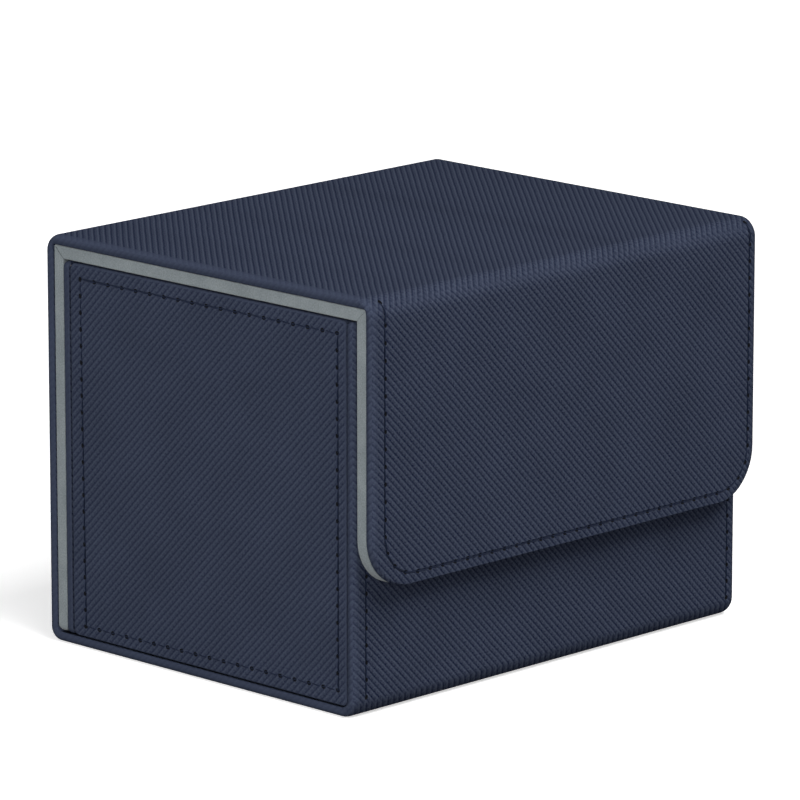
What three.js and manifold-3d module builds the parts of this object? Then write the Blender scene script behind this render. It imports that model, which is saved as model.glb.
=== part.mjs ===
// A card storage box with a fold-over lid, in millimetres.
// One leatherette cover runs from the front wall under the bottom, up the back, over the top
// and down the front as a closing flap. Boards stiffen its panels, and the bends between the
// panels are the hinges. Stitched side panels close the tray, and microfibre lines it.
// The box is closed here. X points right, Y points back and Z points up.
// The origin is at the middle of the footprint.
import * as THREE from "three";
import { mergeVertices } from "three/addons/utils/BufferGeometryUtils.js";
import Module from "manifold-3d";

const wasm = await Module();
wasm.setup();

// Overall size of the closed box.
const boxWidth = 103;
const boxDepth = 85.2;
const boxHeight = 78;

// Thickness of the sheets, and of the panels that they cover.
const leatherThickness = 0.5;
const fabricThickness = 0.4;
const coverThickness = 1.9;
const coverLiningThickness = 2.4;
const backWallThickness = 1.7;
const sidePanelThickness = 2.2;
const innerLiningThickness = 1.4;

// Room between pieces.
const glueLine = 0.1;
const closingGap = 0.3;
const panelSeam = 0.25;
const hingeSeam = 0.1;
const mitreGap = 0.3;

// Bends of the cover, seen from the side.
const backTopRadius = 3.2;
const frontTopRadius = 3.7;
const backBottomRadius = 2.7;
const frontBottomRadius = 3.7;

// Depth of a hinge's axis under the cover's face, where a bending sheet keeps its length.
const hingeAxisDepth = 1;

// Turned edges, and how far some of them lie behind the cover's edge.
const coverEdgeRadius = 0.8;
const liningEdgeRadius = 0.9;
const panelEdgeRadius = 0.7;
const panelCornerRadius = 1.2;
const coverLiningRecess = 0.5;
const sidePanelRecess = 0.2;
const innerLiningDrop = 0.6;
const backLiningTip = 0.7;

// The flap, from the top of the box down.
const flapHeight = 53.6;
const flapCornerRadius = 9.8;

// Magnets that hold the flap against the front wall.
const magnetDiameter = 10;
const flapMagnetThickness = 1.4;
const wallMagnetThickness = 1.1;
const magnetFromSide = 20.5;
const magnetAboveFlapEdge = 11;
const magnetClearance = 0.1;

// Stitching: a thread sunk in a groove of the leatherette.
const threadWidth = 0.35;
const threadHeight = 0.25;
const threadClearance = 0.08;
const stitchInset = 2.6;
const stitchCornerRadius = 1;
const stitchEndInset = 1.5;

// Steps of an arc's quarter and of a rounded edge, sides of a magnet, overrun of a cut.
const arcSteps = 3;
const edgeSteps = 2;
const magnetSides = 24;
const overrun = 5;

// Planes of the closed box, from outside to inside.
const halfWidth = boxWidth / 2;
const backFace = boxDepth / 2;
const flapFace = -boxDepth / 2;
const coverStack = coverThickness + glueLine + coverLiningThickness;
const liningBackFace = backFace - coverThickness - glueLine;
const liningTopFace = boxHeight - coverThickness - glueLine;
const liningFlapFace = flapFace + coverThickness + glueLine;
const liningBackInner = backFace - coverStack;
const liningTopInner = boxHeight - coverStack;
const liningFlapInner = flapFace + coverStack;
const coverLiningSide = halfWidth - coverLiningRecess;
const trayTop = liningTopInner - closingGap;
const trayFront = liningFlapInner + closingGap;
const trayFrontInner = trayFront + coverThickness;
const backWallFace = liningBackInner - glueLine;
const backWallInner = backWallFace - backWallThickness;
const sideFace = halfWidth - sidePanelRecess;
const sideInner = sideFace - sidePanelThickness;
const flapEdge = boxHeight - flapHeight;
const magnetPlace = halfWidth - magnetFromSide;
const leatherStack = leatherThickness + glueLine;
const fabricStack = fabricThickness + glueLine;
const threadGroove = threadHeight + threadClearance;

// Heights and depths at which the cover stops being flat.
const backBend = boxHeight - backTopRadius;
const flapBend = boxHeight - frontTopRadius;
const lidBack = backFace - backTopRadius;
const lidFront = flapFace + frontTopRadius;

// Both hinge axes run along X.
const lidAxis = new THREE.Vector3(0, backFace - hingeAxisDepth, boxHeight - hingeAxisDepth);
const flapAxis = new THREE.Vector3(0, flapFace + hingeAxisDepth, boxHeight - hingeAxisDepth);
const quarterTurn = Math.PI / 2;

// Finishes.
const leatherette = { color: "#343b4c", roughness: 0.6, metalness: 0 };
const greyMicrofibre = { color: "#7d8487", roughness: 0.95, metalness: 0 };
const greyBoard = { color: "#8d8578", roughness: 0.9, metalness: 0 };
const darkThread = { color: "#1b202c", roughness: 0.8, metalness: 0 };
const nickel = { color: "#b9bcc0", roughness: 0.35, metalness: 1 };

// Turns a geometry into a solid that can be cut and joined.
function solidOf(geometry) {
  const bare = geometry.clone();
  bare.deleteAttribute("normal");
  bare.deleteAttribute("uv");
  const merged = mergeVertices(bare);
  return new wasm.Manifold(
    new wasm.Mesh({
      numProp: 3,
      vertProperties: merged.getAttribute("position").array,
      triVerts: new Uint32Array(merged.index.array),
    }),
  );
}

// Turns a solid back into a geometry.
function geometryOf(solid) {
  const mesh = solid.getMesh();
  const geometry = new THREE.BufferGeometry();
  geometry.setAttribute("position", new THREE.BufferAttribute(mesh.vertProperties, 3));
  geometry.setIndex(new THREE.BufferAttribute(mesh.triVerts, 1));
  geometry.computeVertexNormals();
  return geometry;
}

// A block between pairs of planes: { x: [low, high], y: [low, high], z: [low, high] }.
function blockSolid({ x, y, z }) {
  const geometry = new THREE.BoxGeometry(x[1] - x[0], y[1] - y[0], z[1] - z[0]);
  geometry.translate((x[0] + x[1]) / 2, (y[0] + y[1]) / 2, (z[0] + z[1]) / 2);
  return solidOf(geometry);
}

// The same block, larger by a margin on each side.
function grown({ x, y, z }, margin) {
  const wider = ([low, high]) => [low - margin, high + margin];
  return { x: wider(x), y: wider(y), z: wider(z) };
}

// The settings that draw an outline out to a length and round over both its ends.
function drawing(length, edgeRadius) {
  return {
    depth: length - 2 * edgeRadius,
    curveSegments: arcSteps,
    bevelEnabled: edgeRadius > 0,
    bevelThickness: edgeRadius,
    bevelSize: edgeRadius,
    bevelOffset: -edgeRadius,
    bevelSegments: edgeSteps,
  };
}

// An outline in Y and Z, drawn out along X from one plane to another.
function drawnAlongX(outline, [low, high], edgeRadius) {
  const geometry = new THREE.ExtrudeGeometry(outline, drawing(high - low, edgeRadius));
  const toY = new THREE.Vector3(0, 1, 0);
  const toZ = new THREE.Vector3(0, 0, 1);
  const toX = new THREE.Vector3(1, 0, 0);
  geometry.translate(0, 0, low + edgeRadius);
  geometry.applyMatrix4(new THREE.Matrix4().makeBasis(toY, toZ, toX));
  return solidOf(geometry);
}

// An outline in X and Z, drawn out along Y from one plane to another.
function drawnAlongY(outline, [low, high], edgeRadius) {
  const geometry = new THREE.ExtrudeGeometry(outline, drawing(high - low, edgeRadius));
  const toX = new THREE.Vector3(1, 0, 0);
  const toZ = new THREE.Vector3(0, 0, 1);
  const toFront = new THREE.Vector3(0, -1, 0);
  geometry.translate(0, 0, edgeRadius - high);
  geometry.applyMatrix4(new THREE.Matrix4().makeBasis(toX, toZ, toFront));
  return solidOf(geometry);
}

// A closed outline of straight lines.
function polygon(points) {
  return new THREE.Shape(points.map(([a, b]) => new THREE.Vector2(a, b)));
}

// A rectangle with round corners.
function roundedRectangle([a0, a1], [b0, b1], radius) {
  const shape = new THREE.Shape();
  shape.absarc(a1 - radius, b1 - radius, radius, 0, quarterTurn, false);
  shape.absarc(a0 + radius, b1 - radius, radius, quarterTurn, 2 * quarterTurn, false);
  shape.absarc(a0 + radius, b0 + radius, radius, 2 * quarterTurn, 3 * quarterTurn, false);
  shape.absarc(a1 - radius, b0 + radius, radius, 3 * quarterTurn, 4 * quarterTurn, false);
  return shape;
}

// The cover's section: front wall, bottom, back, top and flap in one sheet.
function coverSection() {
  const shape = new THREE.Shape();
  const inside = coverThickness;
  const half = coverThickness / 2;
  const frontLow = [trayFront + frontBottomRadius, frontBottomRadius];
  const backLow = [backFace - backBottomRadius, backBottomRadius];
  shape.absarc(...frontLow, frontBottomRadius, 2 * quarterTurn, 3 * quarterTurn, false);
  shape.absarc(...backLow, backBottomRadius, 3 * quarterTurn, 4 * quarterTurn, false);
  shape.absarc(lidBack, backBend, backTopRadius, 0, quarterTurn, false);
  shape.absarc(lidFront, flapBend, frontTopRadius, quarterTurn, 2 * quarterTurn, false);
  shape.lineTo(flapFace, flapEdge);
  shape.lineTo(flapFace + inside, flapEdge);
  shape.absarc(lidFront, flapBend, frontTopRadius - inside, 2 * quarterTurn, quarterTurn, true);
  shape.absarc(lidBack, backBend, backTopRadius - inside, quarterTurn, 0, true);
  shape.absarc(...backLow, backBottomRadius - inside, 4 * quarterTurn, 3 * quarterTurn, true);
  shape.absarc(...frontLow, frontBottomRadius - inside, 3 * quarterTurn, 2 * quarterTurn, true);
  shape.absarc(trayFront + half, trayTop - half, half, 0, 2 * quarterTurn, false);
  return shape;
}

// The grey lining's section: back, top and flap in one strip.
function coverLiningSection() {
  const shape = new THREE.Shape();
  const outside = coverThickness + glueLine;
  shape.absarc(lidBack, backBend, backTopRadius - outside, 0, quarterTurn, false);
  shape.absarc(lidFront, flapBend, frontTopRadius - outside, quarterTurn, 2 * quarterTurn, false);
  shape.lineTo(liningFlapFace, flapEdge);
  shape.lineTo(liningFlapInner, flapEdge);
  shape.lineTo(liningFlapInner, liningTopInner);
  shape.lineTo(liningBackInner, liningTopInner);
  shape.lineTo(liningBackInner, outside + backLiningTip);
  shape.lineTo(liningBackFace - backLiningTip, outside);
  shape.lineTo(liningBackFace, outside + backLiningTip);
  return shape;
}

// The flap's face, inset from its edges: square at the top, with two round lower corners.
function flapOutline(inset, top) {
  const side = halfWidth - inset;
  const low = flapEdge + inset;
  const radius = flapCornerRadius - inset;
  const shape = new THREE.Shape();
  shape.absarc(radius - side, low + radius, radius, 2 * quarterTurn, 3 * quarterTurn, false);
  shape.absarc(side - radius, low + radius, radius, 3 * quarterTurn, 4 * quarterTurn, false);
  shape.lineTo(side, top);
  shape.lineTo(-side, top);
  return shape;
}

// A band along the flap's three free edges, centred on its line of stitches.
function flapStitchSolid(halfBand, y, top) {
  const outer = drawnAlongY(flapOutline(stitchInset - halfBand, top), y, 0);
  const innerY = [y[0] - overrun, y[1] + overrun];
  const inner = drawnAlongY(flapOutline(stitchInset + halfBand, top + overrun), innerY, 0);
  return outer.subtract(inner);
}

// Everything between two planes of one axis, wide enough to hold the box on the others.
function layer(axis, [low, high]) {
  const reach = boxWidth + boxDepth + boxHeight;
  const block = { x: [-reach, reach], y: [-reach, reach], z: [-reach, reach] };
  block[axis] = [low, high];
  return block;
}

// The five lengths of the cover, cut from one sheet across its bends.
function coverPieces() {
  const sheet = drawnAlongX(coverSection(), [-halfWidth, halfWidth], coverEdgeRadius);
  const flapPlate = drawnAlongY(
    flapOutline(0, boxHeight + overrun),
    [flapFace, flapFace + coverThickness],
    coverEdgeRadius,
  );
  const wide = [-halfWidth - overrun, halfWidth + overrun];
  const keep = (y, z) => sheet.intersect(blockSolid({ x: wide, y, z }));
  const behindFlap = trayFront - closingGap;
  const pastBack = backFace + overrun;
  const pastTop = boxHeight + overrun;
  const pastFlap = flapFace - overrun;
  const underLid = liningTopInner;
  return {
    wrap: keep([behindFlap, pastBack], [-overrun, backBend - hingeSeam]),
    backHinge: keep([lidBack + hingeSeam, pastBack], [backBend, pastTop]),
    lid: keep([lidFront, lidBack], [underLid, pastTop]),
    frontHinge: keep([pastFlap, lidFront - hingeSeam], [flapBend + hingeSeam, pastTop]),
    flap: keep([pastFlap, lidFront], [flapEdge - overrun, flapBend]).intersect(flapPlate),
  };
}

// The three lengths of the grey lining, parted by mitres at the two top corners.
function coverLiningPieces() {
  const across = [-coverLiningSide, coverLiningSide];
  const strip = drawnAlongX(coverLiningSection(), across, liningEdgeRadius);
  const flapPlate = drawnAlongY(
    flapOutline(coverLiningRecess, boxHeight + overrun),
    [liningFlapFace, liningFlapInner],
    liningEdgeRadius,
  );
  const reach = coverStack + overrun;
  const backCorner = liningBackInner - mitreGap;
  const flapCorner = liningFlapInner + mitreGap;
  const low = liningTopInner - mitreGap;
  const wide = [-halfWidth - overrun, halfWidth + overrun];
  const lidZone = polygon([
    [flapCorner, low],
    [backCorner, low],
    [backCorner, liningTopInner],
    [backCorner + reach, liningTopInner + reach],
    [flapCorner - reach, liningTopInner + reach],
    [flapCorner, liningTopInner],
  ]);
  const backZone = polygon([
    [0, -overrun],
    [liningBackInner + reach, -overrun],
    [liningBackInner + reach, liningTopInner + reach],
    [liningBackInner, liningTopInner],
    [0, liningTopInner],
  ]);
  const flapZone = polygon([
    [0, -overrun],
    [0, liningTopInner],
    [liningFlapInner, liningTopInner],
    [liningFlapInner - reach, liningTopInner + reach],
    [liningFlapInner - reach, -overrun],
  ]);
  return {
    back: strip.intersect(drawnAlongX(backZone, wide, 0)),
    lid: strip.intersect(drawnAlongX(lidZone, wide, 0)),
    flap: strip.intersect(drawnAlongX(flapZone, wide, 0)).intersect(flapPlate),
  };
}

// A disc along Y for a magnet or its hole.
function disc(x, [low, high], radius) {
  const geometry = new THREE.CylinderGeometry(radius, radius, high - low, magnetSides);
  geometry.translate(x, (low + high) / 2, flapEdge + magnetAboveFlapEdge);
  return solidOf(geometry);
}

// Cuts the holes for both magnets through a board.
function withMagnetHoles(board, [low, high]) {
  const radius = magnetDiameter / 2 + magnetClearance;
  const through = [low - overrun, high + overrun];
  return [-magnetPlace, magnetPlace].reduce(
    (left, x) => left.subtract(disc(x, through, radius)),
    board,
  );
}

const box = new THREE.Group();
const tray = new THREE.Group();
const lid = new THREE.Group();
const flap = new THREE.Group();
lid.position.copy(lidAxis);
flap.position.copy(flapAxis).sub(lidAxis);
box.add(tray, lid);
lid.add(flap);

// Adds a piece that is drawn in the closed box's own frame to a group that turns on an axis.
function addPiece(group, name, solid, finish) {
  const mesh = new THREE.Mesh(geometryOf(solid), new THREE.MeshStandardMaterial(finish));
  mesh.name = name;
  const origins = new Map([[tray, new THREE.Vector3()], [lid, lidAxis], [flap, flapAxis]]);
  mesh.position.copy(origins.get(group)).negate();
  group.add(mesh);
}

// The leatherette cover and the boards that stiffen it. Each board lies in a pocket of the
// sheet that is open to the inside, because the sheet is turned over the board's side edges.
function addCover() {
  const pieces = coverPieces();
  const x = [leatherStack - halfWidth, halfWidth - leatherStack];
  const boards = {
    front: {
      x,
      y: [trayFront + leatherStack, trayFrontInner],
      z: [frontBottomRadius, trayTop - coverThickness / 2],
    },
    bottom: {
      x,
      y: [trayFront + frontBottomRadius, backFace - backBottomRadius],
      z: [leatherStack, coverThickness],
    },
    back: {
      x,
      y: [backFace - coverThickness, backFace - leatherStack],
      z: [backBottomRadius, backBend - leatherStack],
    },
    lid: {
      x,
      y: [lidFront + leatherStack, lidBack - leatherStack],
      z: [boxHeight - coverThickness, boxHeight - leatherStack],
    },
  };
  const flapY = [flapFace + leatherStack, flapFace + coverThickness];
  const flapTop = flapBend - leatherStack;
  const flapPocketY = [flapY[0] - glueLine, flapY[1] + glueLine];
  const flapPocket = drawnAlongY(flapOutline(leatherThickness, flapTop + glueLine), flapPocketY, 0);

  const stitchTop = trayTop - stitchEndInset;
  const frontThread = (side, halfBand, depth, spare) => blockSolid({
    x: [side * (halfWidth - stitchInset) - halfBand, side * (halfWidth - stitchInset) + halfBand],
    y: [trayFront - spare, trayFront + depth],
    z: [frontBottomRadius - spare, stitchTop + spare],
  });
  const grooveHalf = threadWidth / 2 + threadClearance;
  let wrap = pieces.wrap;
  for (const name of ["front", "bottom", "back"]) {
    wrap = wrap.subtract(blockSolid(grown(boards[name], glueLine)));
  }
  for (const side of [-1, 1]) {
    wrap = wrap.subtract(frontThread(side, grooveHalf, threadGroove, threadClearance));
  }
  addPiece(tray, "cover_wrap", wrap, leatherette);
  for (const [label, side] of [["left", -1], ["right", 1]]) {
    const thread = frontThread(side, threadWidth / 2, threadHeight, 0);
    addPiece(tray, `front_${label}_stitching`, thread, darkThread);
  }
  const frontBoard = withMagnetHoles(blockSolid(boards.front), boards.front.y);
  addPiece(tray, "front_board", frontBoard, greyBoard);
  addPiece(tray, "bottom_board", blockSolid(boards.bottom), greyBoard);
  addPiece(tray, "back_board", blockSolid(boards.back), greyBoard);
  addPiece(tray, "back_hinge", pieces.backHinge, leatherette);
  const lidSkin = pieces.lid.subtract(blockSolid(grown(boards.lid, glueLine)));
  addPiece(lid, "lid_skin", lidSkin, leatherette);
  addPiece(lid, "lid_board", blockSolid(boards.lid), greyBoard);
  addPiece(lid, "front_hinge", pieces.frontHinge, leatherette);

  const grooveY = [flapFace - overrun, flapFace + threadGroove];
  const flapGroove = flapStitchSolid(grooveHalf, grooveY, boxHeight);
  const threadY = [flapFace, flapFace + threadHeight];
  const flapThread = flapStitchSolid(threadWidth / 2, threadY, flapBend - stitchEndInset);
  addPiece(flap, "flap_skin", pieces.flap.subtract(flapPocket).subtract(flapGroove), leatherette);
  addPiece(flap, "flap_board", drawnAlongY(flapOutline(leatherStack, flapTop), flapY, 0), greyBoard);
  addPiece(flap, "flap_stitching", flapThread, darkThread);
}

// The grey lining of the back, lid and flap, with its own boards on the glued side.
function addCoverLining() {
  const pieces = coverLiningPieces();
  const x = [fabricStack - coverLiningSide, coverLiningSide - fabricStack];
  const mitreStack = mitreGap + fabricStack;
  const boards = {
    back: {
      x,
      y: [liningBackInner + fabricStack, liningBackFace],
      z: [coverThickness + glueLine + backLiningTip + fabricStack, liningTopInner - mitreStack],
    },
    lid: {
      x,
      y: [liningFlapInner + mitreStack, liningBackInner - mitreStack],
      z: [liningTopInner + fabricStack, liningTopFace],
    },
  };
  for (const [name, group] of [["back", tray], ["lid", lid]]) {
    const label = name === "back" ? "back_cover_lining" : "lid_lining";
    const pocket = blockSolid(grown(boards[name], glueLine));
    addPiece(group, label, pieces[name].subtract(pocket), greyMicrofibre);
    addPiece(group, label + "_board", blockSolid(boards[name]), greyBoard);
  }
  const inset = coverLiningRecess + fabricStack;
  const top = liningTopInner - mitreStack;
  const y = [liningFlapFace, liningFlapInner - fabricStack];
  const pocketY = [y[0] - glueLine, y[1] + glueLine];
  const pocket = drawnAlongY(flapOutline(inset - glueLine, top + glueLine), pocketY, 0);
  const board = withMagnetHoles(drawnAlongY(flapOutline(inset, top), y, 0), y);
  addPiece(flap, "flap_lining", pieces.flap.subtract(pocket), greyMicrofibre);
  addPiece(flap, "flap_lining_board", board, greyBoard);
}

// The tray's own back wall: a board in a leatherette skin that is open to the inside.
function addBackWall() {
  const y = [backWallInner, backWallFace];
  const z = [coverThickness + glueLine, trayTop];
  const outline = roundedRectangle([-sideFace, sideFace], z, panelCornerRadius);
  const board = {
    x: [leatherStack - sideFace, sideFace - leatherStack],
    y: [backWallInner, backWallFace - leatherStack],
    z: [z[0] + leatherStack, z[1] - leatherStack],
  };
  const pocket = blockSolid(grown(board, glueLine));
  const skin = drawnAlongY(outline, y, panelEdgeRadius).subtract(pocket);
  addPiece(tray, "back_wall_skin", skin, leatherette);
  addPiece(tray, "back_wall_board", blockSolid(board), greyBoard);
}

// A ring of stitches on a side panel, between two planes of X.
function sideStitchSolid(y, z, halfBand, x) {
  const ring = (inset, radius) => roundedRectangle(
    [y[0] + inset, y[1] - inset],
    [z[0] + inset, z[1] - inset],
    radius,
  );
  const outline = ring(stitchInset - halfBand, stitchCornerRadius + halfBand);
  outline.holes.push(ring(stitchInset + halfBand, stitchCornerRadius - halfBand));
  return drawnAlongX(outline, x, 0);
}

// One side panel: stitched skin and board. Side is -1 for the left and 1 for the right.
function addSidePanel(label, side) {
  const y = [trayFrontInner + panelSeam, backWallInner - panelSeam];
  const z = [coverThickness + panelSeam, trayTop];
  const across = (inner, outer) => (side > 0 ? [inner, outer] : [-outer, -inner]);
  const outline = roundedRectangle(y, z, panelCornerRadius);
  const panel = drawnAlongX(outline, across(sideInner - panelEdgeRadius, sideFace), panelEdgeRadius);
  const outerPart = blockSolid(layer("x", across(sideInner, sideFace + overrun)));
  const board = {
    x: across(sideInner, sideFace - leatherStack),
    y: [y[0] + leatherStack, y[1] - leatherStack],
    z: [z[0] + leatherStack, z[1] - leatherStack],
  };
  const grooveHalf = threadWidth / 2 + threadClearance;
  const grooveX = across(sideFace - threadGroove, sideFace + overrun);
  const groove = sideStitchSolid(y, z, grooveHalf, grooveX);
  const pocket = blockSolid(grown(board, glueLine));
  const skin = panel.intersect(outerPart).subtract(pocket).subtract(groove);
  const threadX = across(sideFace - threadHeight, sideFace);
  const thread = sideStitchSolid(y, z, threadWidth / 2, threadX);
  addPiece(tray, label + "_side_skin", skin, leatherette);
  addPiece(tray, label + "_side_board", blockSolid(board), greyBoard);
  addPiece(tray, label + "_side_stitching", thread, darkThread);
}

// Microfibre panels inside the tray: floor first, then the sides, then front and back.
function addInnerLinings() {
  const y = [trayFrontInner + glueLine, backWallInner - glueLine];
  const floorLow = coverThickness + glueLine;
  const floorTop = floorLow + innerLiningThickness;
  const z = [floorTop + glueLine, trayTop - innerLiningDrop];
  const outer = sideInner - glueLine;
  const inner = outer - innerLiningThickness;
  const between = [glueLine - inner, inner - glueLine];
  const linings = {
    floor_lining: {
      x: [-outer, outer],
      y: [trayFront + frontBottomRadius, y[1]],
      z: [floorLow, floorTop],
    },
    left_lining: { x: [-outer, -inner], y, z },
    right_lining: { x: [inner, outer], y, z },
    front_lining: { x: between, y: [y[0], y[0] + innerLiningThickness], z },
    back_lining: { x: between, y: [y[1] - innerLiningThickness, y[1]], z },
  };
  for (const [name, block] of Object.entries(linings)) {
    addPiece(tray, name, blockSolid(block), greyMicrofibre);
  }
}

// Two magnets in the flap's lining board, and two in the front wall to meet them.
function addMagnets() {
  const flapFar = liningFlapInner - fabricStack;
  const wallNear = trayFront + leatherStack;
  const radius = magnetDiameter / 2;
  for (const [label, side] of [["left", -1], ["right", 1]]) {
    const x = side * magnetPlace;
    const inFlap = disc(x, [flapFar - flapMagnetThickness, flapFar], radius);
    const inWall = disc(x, [wallNear, wallNear + wallMagnetThickness], radius);
    addPiece(flap, "flap_magnet_" + label, inFlap, nickel);
    addPiece(tray, "wall_magnet_" + label, inWall, nickel);
  }
}

addCover();
addCoverLining();
addBackWall();
addSidePanel("left", -1);
addSidePanel("right", 1);
addInnerLinings();
addMagnets();

export default box;
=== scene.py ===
# %% [markdown]
# # A leatherette card box with a fold-over lid
# The real box is a small case for sleeved playing cards. Boards are covered with embossed
# navy leatherette, and one long strip of it runs from the front wall under the bottom, up
# the back, over the top and down the front, where it closes with hidden magnets. This
# lesson dresses the fixed frame of that box: it loads the frame, measures it, and then
# replaces its plain solids with wrapped, stitched and lined pieces of the same size.

# %% Load the frame
import math

import bmesh
import bpy
from mathutils import Matrix, Vector


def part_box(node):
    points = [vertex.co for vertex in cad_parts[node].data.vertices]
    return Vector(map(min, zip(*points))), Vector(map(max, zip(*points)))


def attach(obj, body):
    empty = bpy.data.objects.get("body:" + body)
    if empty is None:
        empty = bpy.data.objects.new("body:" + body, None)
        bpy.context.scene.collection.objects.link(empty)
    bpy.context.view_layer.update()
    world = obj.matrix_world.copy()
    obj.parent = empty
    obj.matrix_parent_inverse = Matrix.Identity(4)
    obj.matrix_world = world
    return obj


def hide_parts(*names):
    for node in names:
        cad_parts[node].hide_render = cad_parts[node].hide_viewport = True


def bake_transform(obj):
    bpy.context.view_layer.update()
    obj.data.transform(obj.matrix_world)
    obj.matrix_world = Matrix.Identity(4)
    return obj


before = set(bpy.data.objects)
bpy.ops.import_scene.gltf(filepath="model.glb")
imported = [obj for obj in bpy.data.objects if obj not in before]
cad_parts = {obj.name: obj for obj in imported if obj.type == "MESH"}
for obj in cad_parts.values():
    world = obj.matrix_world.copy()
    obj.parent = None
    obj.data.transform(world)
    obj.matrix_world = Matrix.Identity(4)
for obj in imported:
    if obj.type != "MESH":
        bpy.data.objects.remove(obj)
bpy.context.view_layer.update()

# %% [markdown]
# ## Sizes
# Nothing is measured twice. Each face of the closed box is read from the frame's own nodes,
# so a piece made here lands exactly on the solid that it replaces. Only what the frame does
# not say is written down: how far an edge is rounded, how a seam is sewn, and how fine the
# embossing is. All of it is in metres, written as millimetres times one factor.

# %% Read the planes of the closed box from the frame
MM = 0.001

lid_low, lid_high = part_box("lid_skin")
wrap_low, wrap_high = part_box("cover_wrap")
flap_low, flap_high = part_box("flap_skin")
side_low, side_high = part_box("right_side_skin")
back_wall_low, back_wall_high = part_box("back_wall_skin")
bottom_board_low, bottom_board_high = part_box("bottom_board")
lid_lining_low, lid_lining_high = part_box("lid_lining")
back_lining_low, back_lining_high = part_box("back_cover_lining")

half_width = wrap_high.x
back_face = wrap_high.y
flap_face = flap_high.y - (lid_high.z - lid_low.z)
front_face = wrap_low.y
box_top = lid_high.z
flap_edge = flap_low.z
tray_top = back_wall_high.z
cover_thickness = lid_high.z - lid_low.z

back_top_radius = back_face - lid_high.y
front_top_radius = lid_low.y - flap_face
back_bottom_radius = back_face - bottom_board_high.y
front_bottom_radius = bottom_board_low.y - front_face

lining_top = lid_lining_high.z
lining_under = lid_lining_low.z
lining_thickness = lining_top - lining_under
lining_back = back_lining_high.y
lining_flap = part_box("flap_lining")[0].y
lining_foot = back_lining_low.z

box_size = (2 * half_width, back_face - flap_face, box_top)
print("box, mm:", [round(length / MM, 1) for length in box_size])

# %% Sizes of the finish
outer_round = 0.95 * MM          # the turned edge is half as deep as the panel is thick
outer_reach = 1.5 * MM           # and starts to fall away further in
glued_reach = 0.52 * MM          # the edge on the glued side is rounder: the sheet ends there
glued_round = 0.94 * MM
leather_skin = 0.5 * MM
flat_margin = 0.4 * MM           # flat stretch of a hinge strip beyond its bend
bend_steps = 14
flap_corner = 9.8 * MM
panel_corner = 1.2 * MM

stitch_radius = 0.15 * MM
thread_sides = 6
stitch_steps = 5
stitch_rise = 0.5 * MM           # height of a stitch's arch over its two ends
stitch_lift = 0.02 * MM          # height of its middle over the sheet
groove_half_width = 0.34 * MM
groove_depth = 0.25 * MM
needle_hole_size = (0.42 * MM, 0.54 * MM, 0.5 * MM)
side_slant = math.radians(-4)    # stitches lie a little askew, because the thread is twisted
front_slant = math.radians(2)
tolerance = 0.01 * MM

# %% [markdown]
# ## Camera
# The photograph was taken from a little above and to the left of the flap, with a long lens
# about a metre and a quarter away. The camera is placed from those angles: a vector that
# points back from the box to the lens, and the two axes across it.

# %% Place the camera
camera_azimuth = math.radians(-45.671)
camera_elevation = math.radians(13.223)
camera_distance = 1246.071 * MM
camera_aim = Vector((0, 0, 39.0 * MM))
camera_slide_right = -0.599 * MM
camera_slide_up = 5.336 * MM
sensor_width = 36.0
focal_length = 298.844

camera_back = Vector((
    math.sin(camera_azimuth) * math.cos(camera_elevation),
    -math.cos(camera_azimuth) * math.cos(camera_elevation),
    math.sin(camera_elevation),
))
camera_right = Vector((math.cos(camera_azimuth), math.sin(camera_azimuth), 0))
camera_up = camera_back.cross(camera_right)

camera_data = bpy.data.cameras.new("camera")
camera_data.lens = focal_length
camera_data.sensor_width = sensor_width
camera_data.clip_start = 0.05
camera_data.clip_end = 20
camera = bpy.data.objects.new("camera", camera_data)
camera_turn = Matrix((camera_right, camera_up, camera_back)).transposed()
camera_place = (
    camera_aim
    + camera_back * camera_distance
    + camera_right * camera_slide_right
    + camera_up * camera_slide_up
)
camera.matrix_world = Matrix.Translation(camera_place) @ camera_turn.to_4x4()
scene = bpy.context.scene
scene.collection.objects.link(camera)
scene.camera = camera
print("camera at", [round(c, 3) for c in camera_place])

# %% [markdown]
# ## Light
# The picture has plain studio light. A large soft box hangs over the front, so the flap
# throws a soft shadow on the wall below it, a second one stands to the left, and a weak one
# is near the camera. The room itself is dim, so that the shadows stay. A low strip far behind
# the box keeps its back and its right side from going black. The camera and all mirrors see
# the world and the floor as white paper, and the floor still shows the box's shadow.

# %% Node and colour helpers
scene.view_settings.view_transform = "Standard"


def srgb(hex_colour):
    """A hex colour from a picture as the linear colour that a shader needs."""
    channels = [int(hex_colour[i:i + 2], 16) / 255 for i in (1, 3, 5)]
    linear = [c / 12.92 if c <= 0.04045 else ((c + 0.055) / 1.055) ** 2.4 for c in channels]
    return (*linear, 1.0)


def add_node(tree, kind, settings=None, inputs=None, links=None):
    """Adds one node with its settings, its unlinked inputs and what feeds the others.

    A link comes from a socket, or from a node, which then gives its first output.
    """
    node = tree.nodes.new(kind)
    for name, value in (settings or {}).items():
        setattr(node, name, value)
    for name, value in (inputs or {}).items():
        node.inputs[name].default_value = value
    for name, source in (links or {}).items():
        if isinstance(source, bpy.types.Node):
            source = next(socket for socket in source.outputs if socket.enabled)
        tree.links.new(source, node.inputs[name])
    return node


def new_material(name):
    """A new material and its node tree, which is still empty."""
    material = bpy.data.materials.new(name)
    material.use_nodes = True
    material.node_tree.nodes.clear()
    return material, material.node_tree


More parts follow.
